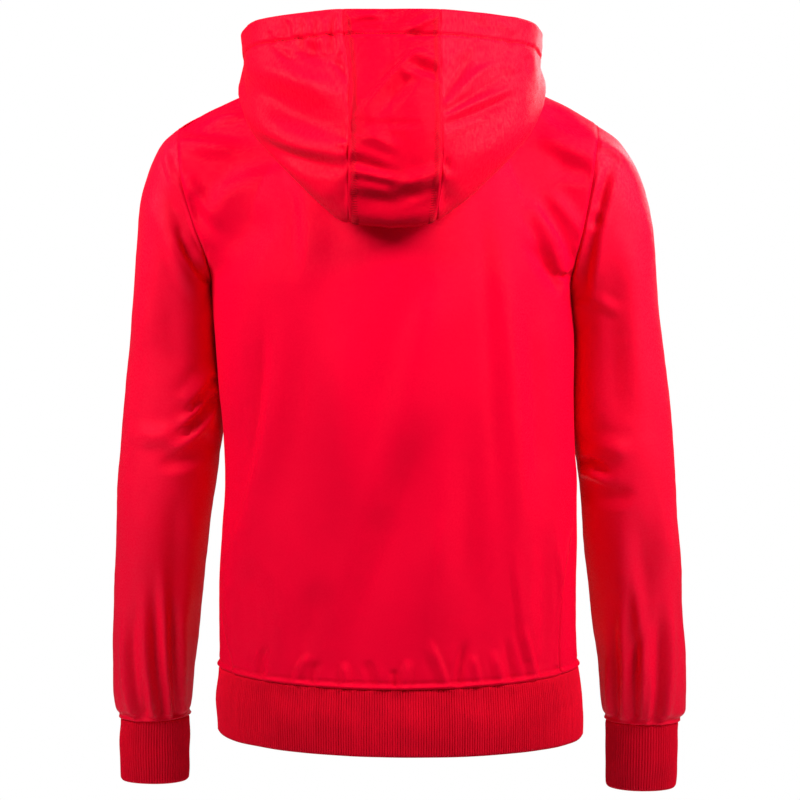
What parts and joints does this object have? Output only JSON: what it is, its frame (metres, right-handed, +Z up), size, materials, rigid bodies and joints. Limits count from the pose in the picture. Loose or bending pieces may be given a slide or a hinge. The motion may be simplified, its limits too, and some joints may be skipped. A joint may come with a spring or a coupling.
{
  "type": "hoodie",
  "caption": "Hooded long-sleeved pullover, filled out as if worn, hood down, with ribbed cuffs and hem band.",
  "frame": {"origin": "middle of the neck opening, level with the high shoulder points", "axes": "+Z up, front faces -Y, back faces +Y, the wearer's left is +X"},
  "size_m": [0.61, 0.3056, 0.811],
  "materials": {
    "red_body": "satin",
    "red_sleeve": "satin",
    "red_hood": "satin",
    "red_rib": "matte"
  },
  "bodies": {
    "root": {"back": "red_body", "front": "red_body", "sleeve_left": "red_sleeve", "sleeve_right": "red_sleeve", "cuff_left": "red_rib", "cuff_right": "red_rib", "hem_band": "red_rib", "hood_centre": "red_hood", "hood_left": "red_hood", "hood_right": "red_hood"}
  },
  "joints": []
}
